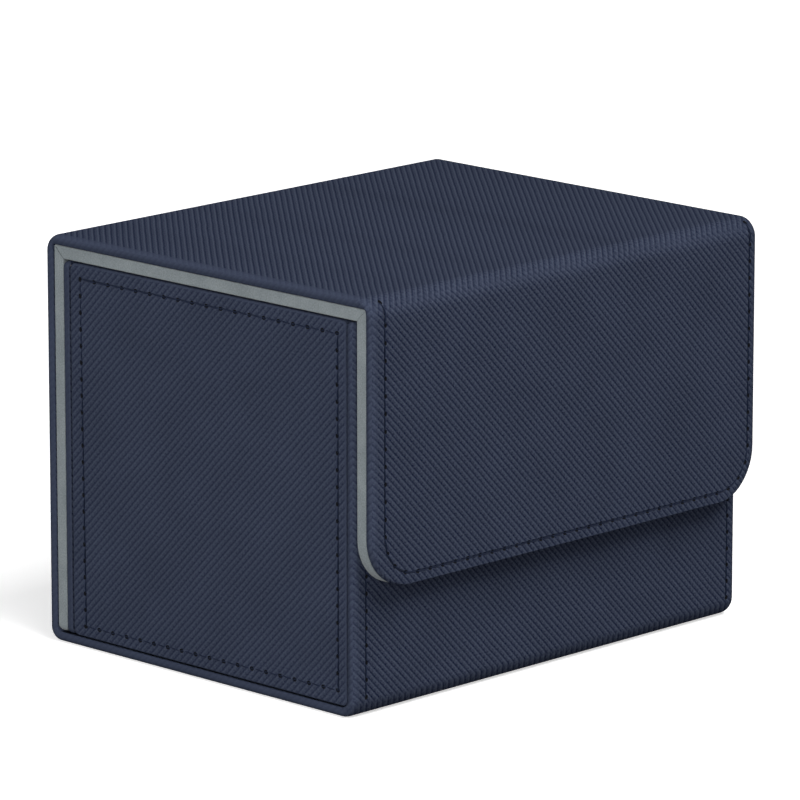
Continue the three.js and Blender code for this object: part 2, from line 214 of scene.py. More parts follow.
def seen_directly(tree):
    """One where the camera sees a surface, be it in a mirror or through glass."""
    rays = add_node(tree, "ShaderNodeLightPath")
    indirect = add_node(tree, "ShaderNodeMath", {"operation": "MAXIMUM"},
                        links={0: rays.outputs["Is Glossy Ray"],
                               1: rays.outputs["Is Transmission Ray"]})
    return add_node(tree, "ShaderNodeMath", {"operation": "MAXIMUM"},
                    links={0: rays.outputs["Is Camera Ray"], 1: indirect})


# %% World, lamps and floor
room_strength = 0.02
white = (1, 1, 1, 1)
world = bpy.data.worlds.new("studio room")
scene.world = world
world.use_nodes = True
tree = world.node_tree
tree.nodes.clear()
room = add_node(tree, "ShaderNodeBackground",
                inputs={"Color": white, "Strength": room_strength})
paper = add_node(tree, "ShaderNodeBackground", inputs={"Color": white, "Strength": 1.0})
mix = add_node(tree, "ShaderNodeMixShader", links={0: seen_directly(tree), 1: room, 2: paper})
add_node(tree, "ShaderNodeOutputWorld", links={"Surface": mix})


def soft_box(name, place, aim, width, height, watts):
    """An area light at a place, turned towards a point. The camera doesn't see it."""
    data = bpy.data.lights.new(name, "AREA")
    data.shape = "RECTANGLE"
    data.size = width
    data.size_y = height
    data.energy = watts
    light = bpy.data.objects.new(name, data)
    light.visible_camera = False
    light.location = place
    light.rotation_euler = (Vector(aim) - Vector(place)).to_track_quat("-Z", "Y").to_euler()
    scene.collection.objects.link(light)


box_middle = Vector((0, 0, box_top / 2))
strip_height = 0.036             # lower than the lid, which it must not graze
soft_box("over the front", (0.0, -1.0, 1.5), box_middle, 1.0, 1.0, watts=25.5)
soft_box("left", (-1.7, -0.3, 0.75), box_middle, 1.0, 1.0, watts=16.5)
soft_box("near the camera", (-1.15, -1.15, 0.55), box_middle, 1.0, 1.0, watts=10.5)
soft_box("low strip", (1.5, 1.5, strip_height), (0, 0, strip_height), 2.6, 0.06, watts=24.0)

floor_reach = 4.0
floor_drop = 0.02 * MM           # so that the floor and the box's foot aren't one plane
shadow_reach = 0.3               # as far as this from the box's middle the shadows are full
paper_reach = 1.2                # and from here on the floor glows white by itself
floor_mesh = bmesh.new()
bmesh.ops.create_grid(floor_mesh, x_segments=1, y_segments=1, size=floor_reach)
floor_data = bpy.data.meshes.new("floor")
floor_mesh.to_mesh(floor_data)
floor_mesh.free()
floor_data.transform(Matrix.Translation((0, 0, -floor_drop)))
floor = bpy.data.objects.new("floor", floor_data)
scene.collection.objects.link(floor)

paper_floor, tree = new_material("white paper floor")
plain = add_node(tree, "ShaderNodeBsdfDiffuse", inputs={"Color": (0.25, 0.25, 0.25, 1)})
bright = add_node(tree, "ShaderNodeBsdfDiffuse", inputs={"Color": (0.98, 0.98, 0.98, 1)})
place = add_node(tree, "ShaderNodeTexCoord")
reach = add_node(tree, "ShaderNodeVectorMath", {"operation": "LENGTH"},
                 links={0: place.outputs["Object"]})
fade = add_node(tree, "ShaderNodeMapRange", {},
                {"From Min": shadow_reach, "From Max": paper_reach, "To Min": 0.55,
                 "To Max": 1.0}, {"Value": reach})
lift = add_node(tree, "ShaderNodeEmission", inputs={"Color": white}, links={"Strength": fade})
shown = add_node(tree, "ShaderNodeAddShader", links={0: bright, 1: lift})
mix = add_node(tree, "ShaderNodeMixShader", links={0: seen_directly(tree), 1: plain, 2: shown})
add_node(tree, "ShaderNodeOutputMaterial", links={"Surface": mix})
floor_data.materials.append(paper_floor)

# %% [markdown]
# ## Leatherette
# The cover is polyurethane leatherette: a cloth backing under a coloured film that a heated
# roller has embossed with a diagonal twill. A matt, slightly soft surface is what the eye
# sees: ribs about one millimetre apart, with dark narrow valleys between them, broken up
# into short floats and grains. The colour follows the relief: the valleys are painted darker
# as painted shade and the ridges lighter as painted highlight. The pattern is laid by UV
# maps in metres, one projection for each side of the box, because the grain turns at every
# edge of the real box. The map is turned by an eighth of a turn and scaled so that one unit
# is one rib. On a bend the top's grain passes into the front's, so both are drawn there and
# an attribute mixes them. Where the sheet is pulled over an edge, a second attribute flattens
# the ribs.

# %% Leatherette material
rib_pitch = 1.034 * MM
rib_stops = 12                   # places across one rib at which its height is set
rib_middle = 0.509
rib_swell = 0.373                # one wave makes the ridge and the valley
shoulder_swell = 0.204           # and one of half its length the low shoulder beside them
shoulder_turn = math.radians(47.7)
float_height = 0.17
float_turn = math.radians(-75)   # the floats show most on the shoulder
drift_length = 5 * MM            # the ribs wander this much over this length
drift_amount = 0.2 * MM
speck_size = 0.3 * MM
speck_height = 0.36
pulled_height = 0.55             # height of the film where it is pulled flat
cloud_size = 12 * MM
relief_depth = 0.14 * MM


def embossing(tree, map_name):
    """Height of the embossed twill, nought to one, where one UV map lays it."""
    place = add_node(tree, "ShaderNodeUVMap", {"uv_map": map_name})

    # The ribs wander, as those of an embossed sheet do when it is glued down.
    drift = add_node(tree, "ShaderNodeTexNoise",
                     inputs={"Scale": 1 / drift_length, "Detail": 1.5}, links={"Vector": place})
    centred = add_node(tree, "ShaderNodeVectorMath", {"operation": "SUBTRACT"},
                       {1: (0.5, 0.5, 0.5)}, {0: drift.outputs["Color"]})
    drifted = add_node(tree, "ShaderNodeVectorMath", {"operation": "SCALE"},
                       {"Scale": drift_amount}, {0: centred})
    wander = add_node(tree, "ShaderNodeVectorMath", {"operation": "ADD"},
                      links={0: place, 1: drifted})
    across = add_node(tree, "ShaderNodeMapping", {"vector_type": "POINT"},
                      {"Rotation": (0, 0, -math.pi / 4), "Scale": (1 / rib_pitch,) * 3},
                      {"Vector": wander})
    parts = add_node(tree, "ShaderNodeSeparateXYZ", links={0: across})
    phase = add_node(tree, "ShaderNodeMath", {"operation": "FRACT"}, links={0: parts.outputs["X"]})

    # Red holds the height across one rib, green how strongly its floats show there.
    ramp = add_node(tree, "ShaderNodeValToRGB", links={0: phase})
    stops = ramp.color_ramp.elements
    while len(stops) <= rib_stops:
        stops.new(0.5)
    for index, stop in enumerate(stops):
        turn = 2 * math.pi * index / rib_stops
        shoulder = shoulder_swell * math.cos(2 * (turn - shoulder_turn))
        level = rib_middle + rib_swell * math.cos(turn) + shoulder
        stop.position = index / rib_stops
        stop.color = (level, float_height * (1 + math.cos(turn - float_turn)) / 2, 0, 1)
    rib = add_node(tree, "ShaderNodeSeparateColor", links={0: ramp})

    # Each rib is a row of short floats, and the film has a fine grain of its own.
    along = add_node(tree, "ShaderNodeMath", {"operation": "MULTIPLY"}, {1: 2 * math.pi},
                     {0: parts.outputs["Y"]})
    floats = add_node(tree, "ShaderNodeMath", {"operation": "SINE"}, links={0: along})
    grain = add_node(tree, "ShaderNodeTexNoise",
                     inputs={"Scale": 1 / speck_size, "Detail": 2.5, "Roughness": 0.65},
                     links={"Vector": place})
    specks = add_node(tree, "ShaderNodeMapRange", {},
                      {"From Min": 0.32, "From Max": 0.68, "To Min": -speck_height,
                       "To Max": speck_height}, {"Value": grain})
    float_specks = add_node(tree, "ShaderNodeMath", {"operation": "MULTIPLY_ADD"},
                            links={0: floats, 1: rib.outputs["Green"], 2: specks})
    return add_node(tree, "ShaderNodeMath", {"operation": "ADD"},
                    links={0: rib.outputs["Red"], 1: float_specks})


def leatherette(name, painted_highlight_ridge_hex, painted_shade_valley_hex):
    """Embossed twill leatherette with painted shade in its valleys, which reads two UV maps and
    the attributes over and pull.
    """
    material, tree = new_material(name)
    over = add_node(tree, "ShaderNodeAttribute", {"attribute_name": "over"})
    pull = add_node(tree, "ShaderNodeAttribute", {"attribute_name": "pull"})
    embossed = add_node(tree, "ShaderNodeMix", {"data_type": "FLOAT"}, {},
                        {"Factor": over.outputs["Fac"], "A": embossing(tree, "grain"),
                         "B": embossing(tree, "grain_over")})
    height = add_node(tree, "ShaderNodeMix", {"data_type": "FLOAT"}, {"B": pulled_height},
                      {"Factor": pull.outputs["Fac"], "A": embossed})
    # Painted shade and highlight: the colour runs from the dark valley colour to the light ridge
    # colour with the relief's height.
    shade = add_node(tree, "ShaderNodeMix", {"data_type": "RGBA", "clamp_factor": False},
                     {"A": srgb(painted_shade_valley_hex), "B": srgb(painted_highlight_ridge_hex)}, {"Factor": height})
    place = add_node(tree, "ShaderNodeUVMap", {"uv_map": "grain"})
    cloud = add_node(tree, "ShaderNodeTexNoise", inputs={"Scale": 1 / cloud_size, "Detail": 3.0},
                     links={"Vector": place})
    tint = add_node(tree, "ShaderNodeMapRange", {},
                    {"From Min": 0.3, "From Max": 0.7, "To Min": 0.94, "To Max": 1.06},
                    {"Value": cloud})
    clouded_painted_shade = add_node(tree, "ShaderNodeHueSaturation", links={"Color": shade, "Value": tint})
    gloss = add_node(tree, "ShaderNodeMapRange", {},
                     {"From Min": 0.0, "From Max": 1.0, "To Min": 0.8, "To Max": 0.55},
                     {"Value": height})
    relief = add_node(tree, "ShaderNodeBump", {}, {"Strength": 0.5, "Distance": relief_depth},
                      {"Height": height})

    # Seen at a low angle, the film would mirror the white room as haze, so it has no gloss.
    shader = add_node(tree, "ShaderNodeBsdfPrincipled", {}, {"Specular IOR Level": 0.0},
                      {"Base Color": clouded_painted_shade, "Roughness": gloss, "Normal": relief})
    add_node(tree, "ShaderNodeOutputMaterial", links={"Surface": shader})
    return material


# The ridge colour is a painted highlight and the valley colour a painted shade of the film's navy.
navy_leatherette = leatherette("embossed navy leatherette", "#474e5f", "#20263a")

# %% [markdown]
# ## Microfibre, thread and hidden materials
# The grey lining is brushed microfibre, which is matt and slightly mottled because its nap
# lies in all directions. The thread is twisted polyester in the leatherette's navy, its
# colour darkened further as painted shade along the rows. The stiffeners are pressed
# greyboard, a speckled recycled card, and the magnets are nickel plated. The last two are
# sealed inside the box, but they are finished like the rest.

# %% Other materials


def speckled(name, hex_low, hex_high, size, roughness, depth, sheen=0.0, specular=0.2):
    """A matt material mottled between two colours at a given grain size, in metres."""
    material, tree = new_material(name)
    place = add_node(tree, "ShaderNodeTexCoord")
    nap = add_node(tree, "ShaderNodeTexNoise",
                   inputs={"Scale": 1 / size, "Detail": 3.0, "Roughness": 0.65},
                   links={"Vector": place.outputs["Object"]})
    wide = add_node(tree, "ShaderNodeTexNoise", inputs={"Scale": 0.08 / size, "Detail": 2.0},
                    links={"Vector": place.outputs["Object"]})
    both = add_node(tree, "ShaderNodeMath", {"operation": "MULTIPLY_ADD"}, {1: 0.35},
                    {0: wide, 2: nap})
    blend = add_node(tree, "ShaderNodeMapRange", {},
                     {"From Min": 0.45, "From Max": 0.9, "To Min": 0.0, "To Max": 1.0},
                     {"Value": both})
    shade = add_node(tree, "ShaderNodeMix", {"data_type": "RGBA"},
                     {"A": srgb(hex_low), "B": srgb(hex_high)}, {"Factor": blend})
    relief = add_node(tree, "ShaderNodeBump", {}, {"Strength": 0.4, "Distance": depth},
                      {"Height": nap})
    shader = add_node(tree, "ShaderNodeBsdfPrincipled", {},
                      {"Roughness": roughness, "Specular IOR Level": specular,
                       "Sheen Weight": sheen, "Sheen Roughness": 0.5},
                      {"Base Color": shade, "Normal": relief})
    add_node(tree, "ShaderNodeOutputMaterial", links={"Surface": shader})
    return material


grey_microfibre = speckled("brushed grey microfibre", "#71797d", "#91999c", size=0.3 * MM,
                           roughness=0.95, depth=0.12 * MM, sheen=0.15)
# The thread's own navy, darkened further as painted shade along the rows.
navy_thread = speckled("twisted navy thread", "#101626", "#1f273b", size=0.2 * MM,
                       roughness=0.5, depth=0.05 * MM, specular=0.05)
pressed_board = speckled("pressed greyboard", "#7b7467", "#9d9587", size=0.6 * MM,
                         roughness=0.9, depth=0.05 * MM)
# Near-black painted shade for the walls of the needle holes.
needle_shadow = speckled("needle hole", "#05070c", "#0a0d15", size=0.3 * MM,
                         roughness=0.95, depth=0.02 * MM)


haze_size = 0.8 * MM


def plated(name, hex_colour):
    """Nickel plate with a faint tumbled haze."""
    material, tree = new_material(name)
    place = add_node(tree, "ShaderNodeTexCoord")
    haze = add_node(tree, "ShaderNodeTexNoise", inputs={"Scale": 1 / haze_size, "Detail": 3.0},
                    links={"Vector": place.outputs["Object"]})
    gloss = add_node(tree, "ShaderNodeMapRange", {},
                     {"From Min": 0.3, "From Max": 0.7, "To Min": 0.22, "To Max": 0.42},
                     {"Value": haze})
    shader = add_node(tree, "ShaderNodeBsdfPrincipled", {},
                      {"Base Color": srgb(hex_colour), "Metallic": 1.0}, {"Roughness": gloss})
    add_node(tree, "ShaderNodeOutputMaterial", links={"Surface": shader})
    return material


nickel_plate = plated("nickel plate", "#c3c5c8")
finishes = {"leatherette": navy_leatherette, "grey_microfibre": grey_microfibre,
            "navy_thread": navy_thread}
for name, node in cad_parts.items():
    if name.endswith("_board") or "magnet" in name:
        node.data.materials.clear()
        node.data.materials.append(nickel_plate if "magnet" in name else pressed_board)
print("materials:", sorted(m.name for m in bpy.data.materials))

# %% [markdown]
# ## Turning a mesh into a finished piece
# Every piece ends the same way: its edges are shaded smooth up to a sharp fold, its grain
# is laid where it has one, and it is tied to the body that it moves with, except a piece
# across a hinge, which is only baked in place. Weighted normals keep the large flats flat
# beside their rounded edges. The grain is a box projection. A face that looks forward takes
# its place from X and Z, a side from Y and Z and the top from X and Y, turned over, so that
# the ribs meet at an edge as a herringbone as they do on the real box.

# %% Finishing helpers
sharp_fold = math.radians(38)
merge_distance = 0.002 * MM
side_grain_scale = 0.95
top_grain_scale = 0.98
top_grain_turn = math.radians(2.6)
side_pull = 0.34
top_pull = 0.15
turned_pull = 0.75
front_turned_pull = 0.42
over_fade = (0.1, 0.95)          # slope where the top's grain sets in, and where it is alone
under_fade = (0.05, 0.5)         # the same on the underside


def front_place(point):
    """Where a point lies in the front's grain."""
    return Vector((point.x, point.z))


def side_place(point):
    """Where a point lies in a side's grain, which is a little stretched."""
    return Vector((point.y, point.z)) * side_grain_scale


def top_place(point):
    """Where a point lies in the top's grain, which is turned over and glued a little askew."""
    return Matrix.Rotation(top_grain_turn, 2) @ Vector((point.x, -point.y)) * top_grain_scale


def smooth_step(low, high, value):
    """Eases from nought to one between two values."""
    share = max(0.0, min(1.0, (value - low) / (high - low)))
    return share * share * (3 - 2 * share)


def lay_grain(mesh, tightness):
    """Writes both UV maps of the grain, their mixing share and how flat the sheet is pulled."""
    for name in ("grain", "grain_over"):
        mesh.uv_layers.new(name=name)
    for name in ("over", "pull"):
        mesh.attributes.new(name, "FLOAT", "CORNER")
    ahead, above = (mesh.uv_layers[name].data for name in ("grain", "grain_over"))
    over, pull = (mesh.attributes[name].data for name in ("over", "pull"))
    around = [[] for _ in mesh.vertices]
    for face in mesh.polygons:
        for corner in face.vertices:
            around[corner].append(face.normal * face.area)
    for face in mesh.polygons:
        to_side = abs(face.normal.x) >= max(abs(face.normal.y), abs(face.normal.z))
        kept = 1 - tightness(face.center, face.normal)
        for loop in face.loop_indices:
            corner = mesh.loops[loop].vertex_index
            point = mesh.vertices[corner].co
            beside = [n for n in around[corner] if n.dot(face.normal) > 0.7 * n.length]
            level = sum(beside, Vector()).normalized().z
            share = smooth_step(*(over_fade if level > 0 else under_fade), abs(level))
            ahead[loop].uv = side_place(point) if to_side else front_place(point)
            above[loop].uv = top_place(point)
            over[loop].value = 0.0 if to_side else share
            pull[loop].value = 1 - (1 - (side_pull if to_side else top_pull * share)) * kept


def finish_piece(bm, name, slot, nodes=(), body=None, bend=None, tight=None, cuts=None):
    """Makes the object, pierces it, lays its grain and ties it to one body, or bakes a hinge piece
    in place, tied to no body.
    """
    bmesh.ops.remove_doubles(bm, verts=bm.verts, dist=merge_distance)
    bmesh.ops.recalc_face_normals(bm, faces=bm.faces)
    open_edges = sum(1 for edge in bm.edges if len(edge.link_faces) != 2)
    mesh = bpy.data.meshes.new(name)
    bm.to_mesh(mesh)
    bm.free()
    mesh.materials.append(finishes[slot])
    piece = bpy.data.objects.new(name, mesh)
    scene.collection.objects.link(piece)
    if cuts:
        pierce(piece, cuts)
    piece.data.shade_smooth()
    piece.data.set_sharp_from_angle(angle=sharp_fold)
    if tight:
        lay_grain(piece.data, tight)
    if bend:
        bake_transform(piece)
    else:
        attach(piece, body)
    even = piece.modifiers.new("even shading", "WEIGHTED_NORMAL")
    even.weight = 100
    even.keep_sharp = True
    if nodes:
        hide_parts(*nodes)
    print(f"{name}: {len(piece.data.polygons)} faces, {open_edges} open edges")


# %% [markdown]
# ## Needle holes and threads
# A lockstitch row is a line of needle holes with the thread lying between them. One hole
# and one stitch are made once, as patterns, and copied along each row by a matrix whose
# axes run across the row, along it and out of the sheet. The holes are cut out with a
# Boolean modifier that is applied at once, so that they are real pits in the leatherette
# whose walls are painted near-black as painted shade, and each stitch is a low arch whose
# two ends dive into its holes.

# %% Stitch patterns


def stitch_pattern(length):
    """One stitch: a ring of thread, spun into a low arch along Y."""
    bm = bmesh.new()
    arch = ((length / 2) ** 2 + stitch_rise ** 2) / (2 * stitch_rise)
    half_turn = math.asin(length / 2 / arch)
    centre = Vector((0, 0, stitch_lift - arch))
    upright = Matrix.Translation((0, 0, stitch_lift)) @ Matrix.Rotation(math.pi / 2, 4, "X")
    bmesh.ops.create_circle(bm, cap_ends=True, segments=thread_sides,
                             radius=stitch_radius, matrix=upright)
    bmesh.ops.rotate(bm, verts=bm.verts, cent=centre, matrix=Matrix.Rotation(-half_turn, 3, "X"))
    bmesh.ops.spin(bm, geom=bm.faces[:], cent=centre, axis=(1, 0, 0), dvec=(0, 0, 0),
                   angle=2 * half_turn, steps=stitch_steps, use_duplicate=False)
    return bm


def hole_pattern():
    """One needle hole: a small ball, drawn out along the row."""
    bm = bmesh.new()
    bmesh.ops.create_icosphere(bm, subdivisions=2, radius=1)
    bmesh.ops.scale(bm, verts=bm.verts, vec=needle_hole_size)
    return bm


def row_frame(here, there, out, slant=0.0):
    """Axes across a row, along it and out of the sheet, set half way between two points."""
    along = (there - here).normalized()
    across = along.cross(out).normalized()
    turn = Matrix((across, along, out)).transposed() @ Matrix.Rotation(slant, 3, "Z")
    return Matrix.Translation((here + there) / 2) @ turn.to_4x4()


def copy_pattern(bm, pattern, place):
    """Adds a pattern to a mesh, moved by a matrix."""
    before = len(bm.verts)
    template = bpy.data.meshes.new("pattern")
    pattern.to_mesh(template)
    bm.from_mesh(template)
    bpy.data.meshes.remove(template)
    bm.verts.ensure_lookup_table()
    bmesh.ops.transform(bm, matrix=place, verts=bm.verts[before:])


def even_places(path, count):
    """Splits a path of points into a number of equal lengths."""
    lengths = [(b - a).length for a, b in zip(path, path[1:])]
    places = [path[0]]
    for step in range(1, count):
        left = sum(lengths) * step / count
        for start, end, length in zip(path, path[1:], lengths):
            if left <= length:
                places.append(start.lerp(end, left / length))
                break
            left -= length
    return [*places, path[-1]]


def hole_cutters(rows, out):
    """All the holes of some rows as one mesh. Rows that meet at a corner share its hole."""
    bm = bmesh.new()
    pattern = hole_pattern()
    done = []
    for places in rows:
        for index, place in enumerate(places):
            if any((place - other).length < needle_hole_size[1] for other in done):
                continue
            done.append(place)
            near = places[max(0, index - 1)]
            far = places[min(len(places) - 1, index + 1)]
            spot = row_frame(near, far, out)
            spot.translation = place
            copy_pattern(bm, pattern, spot)
    pattern.free()
    return bm


def pierce(piece, bm):
    """Cuts holes out of a piece. Their walls take the piece's second material, a near-black
    painted shade.
    """
    for face in bm.faces:
        face.material_index = 1
    cutter_mesh = bpy.data.meshes.new("needle cuts")
    bm.to_mesh(cutter_mesh)
    bm.free()
    piece.data.materials.append(needle_shadow)
    for _ in range(2):
        cutter_mesh.materials.append(needle_shadow)
    cutter = bpy.data.objects.new("needle cuts", cutter_mesh)
    scene.collection.objects.link(cutter)
    modifier = piece.modifiers.new("needle holes", "BOOLEAN")
    modifier.operation = "DIFFERENCE"
    modifier.solver = "EXACT"
    modifier.object = cutter
    graph = bpy.context.evaluated_depsgraph_get()
    mesh = bpy.data.meshes.new_from_object(piece.evaluated_get(graph))
    piece.modifiers.clear()
    plain = piece.data
    piece.data = mesh
    bpy.data.meshes.remove(plain)
    bpy.data.objects.remove(cutter)
    bpy.data.meshes.remove(cutter_mesh)


def sew(name, nodes, body, rows, out, slant=0.0):
    """Lays a stitch between each pair of neighbouring holes of some rows."""
    bm = bmesh.new()
    for places in rows:
        pattern = stitch_pattern((places[1] - places[0]).length)
        for here, there in zip(places, places[1:]):
            copy_pattern(bm, pattern, row_frame(here, there, out, slant))
        pattern.free()
    finish_piece(bm, name, "navy_thread", nodes, body)


# %% [markdown]
# ## Shaping a sheet that is wrapped round boards
# The cover's own section is drawn first: a long thin outline whose outer corners fall away
# gently, as leatherette does when it is turned over a board's edge. Its corners on the glued
# side are rounder, because the turned sheet ends there. That one outline is pulled along
# straight stretches and spun round bends, so all the lengths of the cover meet without a step.

# %% Sheet helpers
large_face = 1000 * MM * MM
facing = 0.9                     # share of a normal that makes a face look one way
section_steps = 6
glued_edge = (glued_reach, glued_round)
lip = 0.05 * MM
pocket_depth = cover_thickness - leather_skin
roll_steps = 5
roll_turn = math.radians(84)
cut_distance = 0.0005 * MM


def round_off(bm, geom, radius, steps, affect):
    """Rounds some corners or edges."""
    bmesh.ops.bevel(bm, geom=geom, offset=radius, offset_type="OFFSET", segments=steps,
                    profile=0.5, affect=affect, clamp_overlap=True, material=-1)


def inset(bm, face, width, depth=0.0):
    """Draws a face in by an even width, and pushes it out by a depth."""
    bmesh.ops.inset_individual(bm, faces=[face], thickness=width, depth=depth,
                               use_even_offset=True)


def mark_line(bm, point, normal, geom=None, clear=False):
    """Cuts a line round a mesh, and takes away what lies beyond it if asked."""
    geom = geom or [*bm.verts, *bm.edges, *bm.faces]
    return bmesh.ops.bisect_plane(bm, geom=geom, dist=cut_distance, plane_co=point,
                                  plane_no=normal, clear_outer=clear)


def sheet_section(bm, outer, inward, half=half_width, thickness=cover_thickness,
                  outer_size=(outer_reach, outer_round), inner_size=glued_edge, marks=()):
    """A sheet's outline across its width, as one face at the start of its path."""
    places = ((-half, 0, 0), (half, 0, 0), (half, thickness, 0), (-half, thickness, 0))
    verts = [bm.verts.new(place) for place in places]
    bm.faces.new(verts)
    for pair, size in ((verts[:2], outer_size), (verts[2:], inner_size)):
        round_off(bm, pair, size[1], section_steps, "VERTICES")
    for vert in bm.verts:
        inside = half - abs(vert.co.x)
        reach, depth = outer_size if vert.co.y < thickness / 2 else inner_size
        if inside < depth + 0.001 * MM:
            vert.co.x = math.copysign(half - inside * reach / depth, vert.co.x)
    for mark in marks:
        mark_line(bm, (mark, 0, 0), (1, 0, 0))
    bmesh.ops.dissolve_faces(bm, faces=bm.faces[:])
    inward = Vector(inward)
    axes = Matrix((Vector((1, 0, 0)), inward, Vector((1, 0, 0)).cross(inward))).transposed()
    bmesh.ops.transform(bm, matrix=Matrix.Translation(outer) @ axes.to_4x4(), verts=bm.verts)
    return bm.faces[:][0]


def pull(bm, face, step):
    """Draws a face out along a step and returns the new end."""
    made = bmesh.ops.extrude_face_region(bm, geom=[face, *face.edges])["geom"]
    end = next(g for g in made if isinstance(g, bmesh.types.BMFace))
    bmesh.ops.translate(bm, verts=end.verts, vec=step)
    return end


def bend_round(bm, face, centre, angle):
    """Spins a face about a line along X and returns the new end."""
    made = bmesh.ops.spin(bm, geom=[face, *face.edges], cent=centre, axis=(1, 0, 0),
                          dvec=(0, 0, 0), angle=angle, steps=bend_steps, use_duplicate=False)
    return next(g for g in made["geom_last"] if isinstance(g, bmesh.types.BMFace))


def roll_end(bm, face, up, half, thickness):
    """Rolls a sheet's end over: each step up is narrower, like the hem of a bag."""
    across = [v.co.y for v in face.verts]
    middle = Vector((0, (min(across) + max(across)) / 2, 0))
    roll = thickness / 2
    for step in range(roll_steps):
        low = roll_turn * step / roll_steps
        high = roll_turn * (step + 1) / roll_steps
        face = pull(bm, face, (0, 0, up * roll * (math.sin(high) - math.sin(low))))
        shrink = roll * (math.cos(low) - math.cos(high))
        bmesh.ops.scale(bm, verts=face.verts, space=Matrix.Translation(-middle),
                        vec=(1 - shrink / half, math.cos(high) / math.cos(low), 1))


def groove_marks(place, shift=0.0):
    """Where a sheet's outline is marked for a groove on both sides."""
    offsets = (-groove_half_width, 0, groove_half_width)
    return [side * place + shift + offset for side in (-1, 1) for offset in offsets]


def pocket(bm, border, depth, face_test):
    """Opens a board's pocket in each large face that passes a test."""
    bmesh.ops.recalc_face_normals(bm, faces=bm.faces)
    for face in [f for f in bm.faces if f.calc_area() > large_face and face_test(f)]:
        inset(bm, face, border)
        inset(bm, face, tolerance, -depth)


def turned_at_side(centre, normal):
    """Tightness of the cover where it is turned over a side edge, less on flap and front."""
    if half_width - abs(centre.x) > outer_reach:
        return 0.0
    return front_turned_pull if centre.y < front_face + cover_thickness else turned_pull


# %% [markdown]
# ## The tray's wrap: front wall, bottom and back
# On the real box this is one board-stiffened length of leatherette, rolled over the board
# at the front wall's top edge. Its inner faces are open pockets that the boards lie in. Two
# rows of stitches run down the front wall, each in a shallow groove.

# %% Tray wrap
wall_stitch_place = half_width - 2.8 * MM
wall_line_shift = 0.38 * MM      # the front wall's rows are sewn a little to the right
wall_stitch_low = 3.9 * MM
wall_stitch_high = 71.1 * MM
wall_stitches = 21
wrap_end = box_top - back_top_radius - flat_margin
wall_roll = tray_top - cover_thickness / 2

forwards = Vector((0, -1, 0))
wall_rows = [
    even_places([Vector((place, front_face, wall_stitch_high)),
                 Vector((place, front_face, wall_stitch_low))], wall_stitches)
    for place in (wall_line_shift - wall_stitch_place, wall_line_shift + wall_stitch_place)
]

bm = bmesh.new()
start = sheet_section(bm, (0, front_face, wall_roll), (0, 1, 0),
                      marks=groove_marks(wall_stitch_place, wall_line_shift))
end = pull(bm, start, (0, 0, front_bottom_radius - wall_roll))
front_foot = (0, front_face + front_bottom_radius, front_bottom_radius)
back_foot = (0, back_face - back_bottom_radius, back_bottom_radius)
end = bend_round(bm, end, front_foot, math.pi / 2)
end = pull(bm, end, (0, back_foot[1] - front_foot[1], 0))
end = bend_round(bm, end, back_foot, math.pi / 2)
pull(bm, end, (0, 0, wrap_end - back_bottom_radius))
roll_end(bm, start, 1, half_width, cover_thickness)
pocket(bm, lip, pocket_depth,
       lambda f: f.normal.y > facing and f.calc_center_median().y < 0)
pocket(bm, lip, pocket_depth, lambda f: f.normal.z > facing)
pocket(bm, lip, pocket_depth,
       lambda f: f.normal.y < -facing and f.calc_center_median().y > 0)
for vert in bm.verts:
    on_line = abs(abs(vert.co.x - wall_line_shift) - wall_stitch_place) < tolerance
    if on_line and vert.co.y < front_face + tolerance:
        vert.co.y += groove_depth
finish_piece(bm, "tray_wrap", "leatherette", ["cover_wrap"], body="tray",
             tight=turned_at_side, cuts=hole_cutters(wall_rows, forwards))
sew("wall_stitches", ["front_left_stitching", "front_right_stitching"], "tray", wall_rows,
    forwards, front_slant)

# %% [markdown]
# ## The two living hinges
# Between the panels the same sheet has no board and bends freely. Each bend is its own
# piece here, lying between two bodies: the panel before it and the panel after it. It is
# baked in place and tied to neither. Inside, the lining's square corner presses the sheet
# into a sharper fold than its outside has, so the inner points are moved out towards that
# corner. A short flat stretch at both ends keeps the shading the same as its neighbours'.

# %% Hinge strips
inner_fold = 0.45 * MM
flap_stitch_place = half_width - 2.75 * MM
flap_line_shift = 0.55 * MM      # the flap's row is sewn a little to the right
flap_first_hole = 73.1 * MM
bend_hole_turn = math.radians(50)
bend_stitch_lift = 0.2 * MM
straight_steps = 3


def square_up(bm, centre, radius):
    """Moves a bend's inner points out to a nearly square corner."""
    inner = radius - cover_thickness
    furthest = inner * math.sqrt(2) - inner_fold * (math.sqrt(2) - 1)
    for vert in bm.verts:
        arm = Vector((0, vert.co.y - centre[1], vert.co.z - centre[2]))
        share = arm.normalized()
        widest = max(abs(share.y), abs(share.z))
        wanted = min(inner / widest, furthest) - inner
        outside = share.z > -0.001 and share.y * centre[1] > -0.001 * MM
        if outside:
            weight = max(0, min(1, 1 - (arm.length - inner) / (cover_thickness - outer_round)))
            vert.co += share * wanted * weight


def make_hinge(name, node, bend, outer, inward, steps, centre, radius, marks=(), cuts=None):
    """A bend of the cover: a short flat, a quarter turn and another short flat."""
    bm = bmesh.new()
    end = pull(bm, sheet_section(bm, outer, inward, marks=marks), steps[0])
    end = bend_round(bm, end, centre, math.pi / 2)
    pull(bm, end, steps[1])
    square_up(bm, centre, radius)
    for vert in bm.verts if marks else ():
        arm = Vector((0, vert.co.y - centre[1], vert.co.z - centre[2]))
        on_line = abs(abs(vert.co.x - flap_line_shift) - flap_stitch_place) < tolerance
        if on_line and arm.length > radius - 2 * tolerance:
            fade = 1 - max(0, arm.z) / (radius * math.sin(bend_hole_turn))
            vert.co -= arm.normalized() * groove_depth * max(0, fade)
    finish_piece(bm, name, "leatherette", [node], bend=bend, tight=turned_at_side, cuts=cuts)


